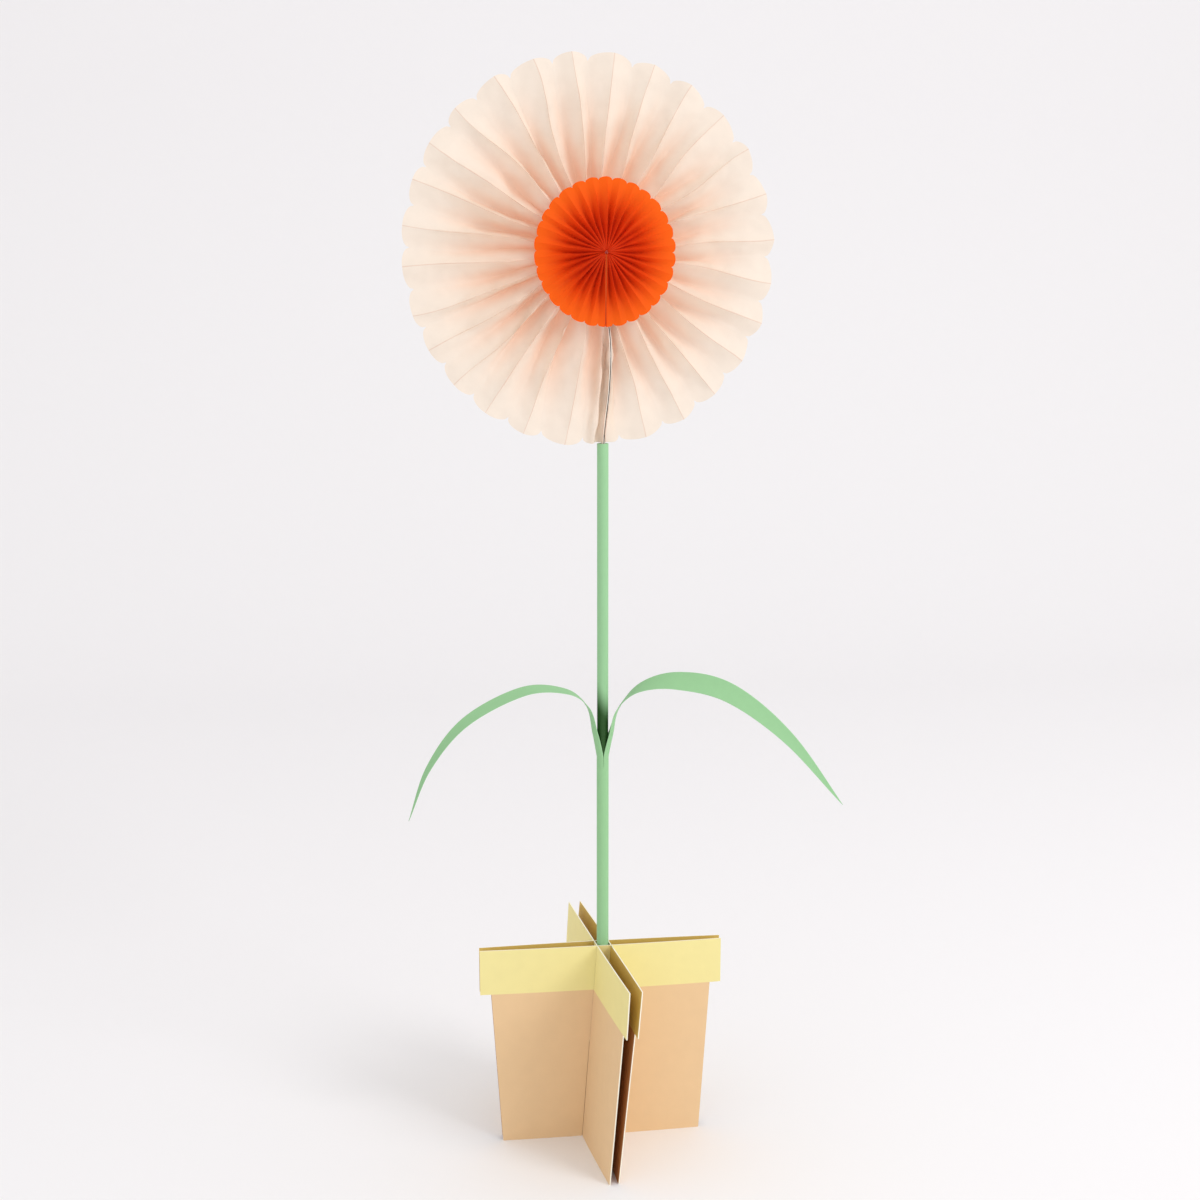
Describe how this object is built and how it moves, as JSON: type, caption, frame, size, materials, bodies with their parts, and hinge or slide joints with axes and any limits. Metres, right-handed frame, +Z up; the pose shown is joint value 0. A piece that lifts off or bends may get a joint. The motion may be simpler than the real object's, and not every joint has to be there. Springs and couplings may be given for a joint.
{
  "type": "paper flower",
  "caption": "Tall paper flower: a pleated round tissue head with a small bright centre, on a rolled stem with two arching leaves, standing in a flat-card flowerpot.",
  "frame": {"origin": "on the table, under the middle of the whole flower's bounding box", "axes": "+Z up along the stem; -Y is the front, towards which the head faces, turned 9.5 degrees to +X; +X is the viewer's right"},
  "size_m": [0.3439, 0.2037, 0.8845],
  "materials": {
    "pot_card": "matt printed card, pale yellow rim over a terracotta body",
    "stem_card": "rolled green paper tube, matt",
    "leaf_card": "light green card, matt",
    "petal_tissue": "thin translucent tissue paper, cream at the rim and peach towards the hub",
    "petal_card": "stiff cream card",
    "centre_tissue": "bright orange tissue paper",
    "centre_card": "stiff orange card",
    "pad_foam": "white foam mounting pad"
  },
  "bodies": {
    "root": {"pot_card_front": "pot_card", "pot_card_back": "pot_card", "pot_card_left": "pot_card", "pot_card_right": "pot_card", "stem_tube": "stem_card", "leaf_sleeve": "leaf_card", "petal_fan": "petal_tissue", "petal_card_left": "petal_card", "petal_card_right": "petal_card", "centre_fan": "centre_tissue", "centre_card_left": "centre_card", "centre_card_right": "centre_card", "glue_pad": "pad_foam"}
  },
  "joints": []
}
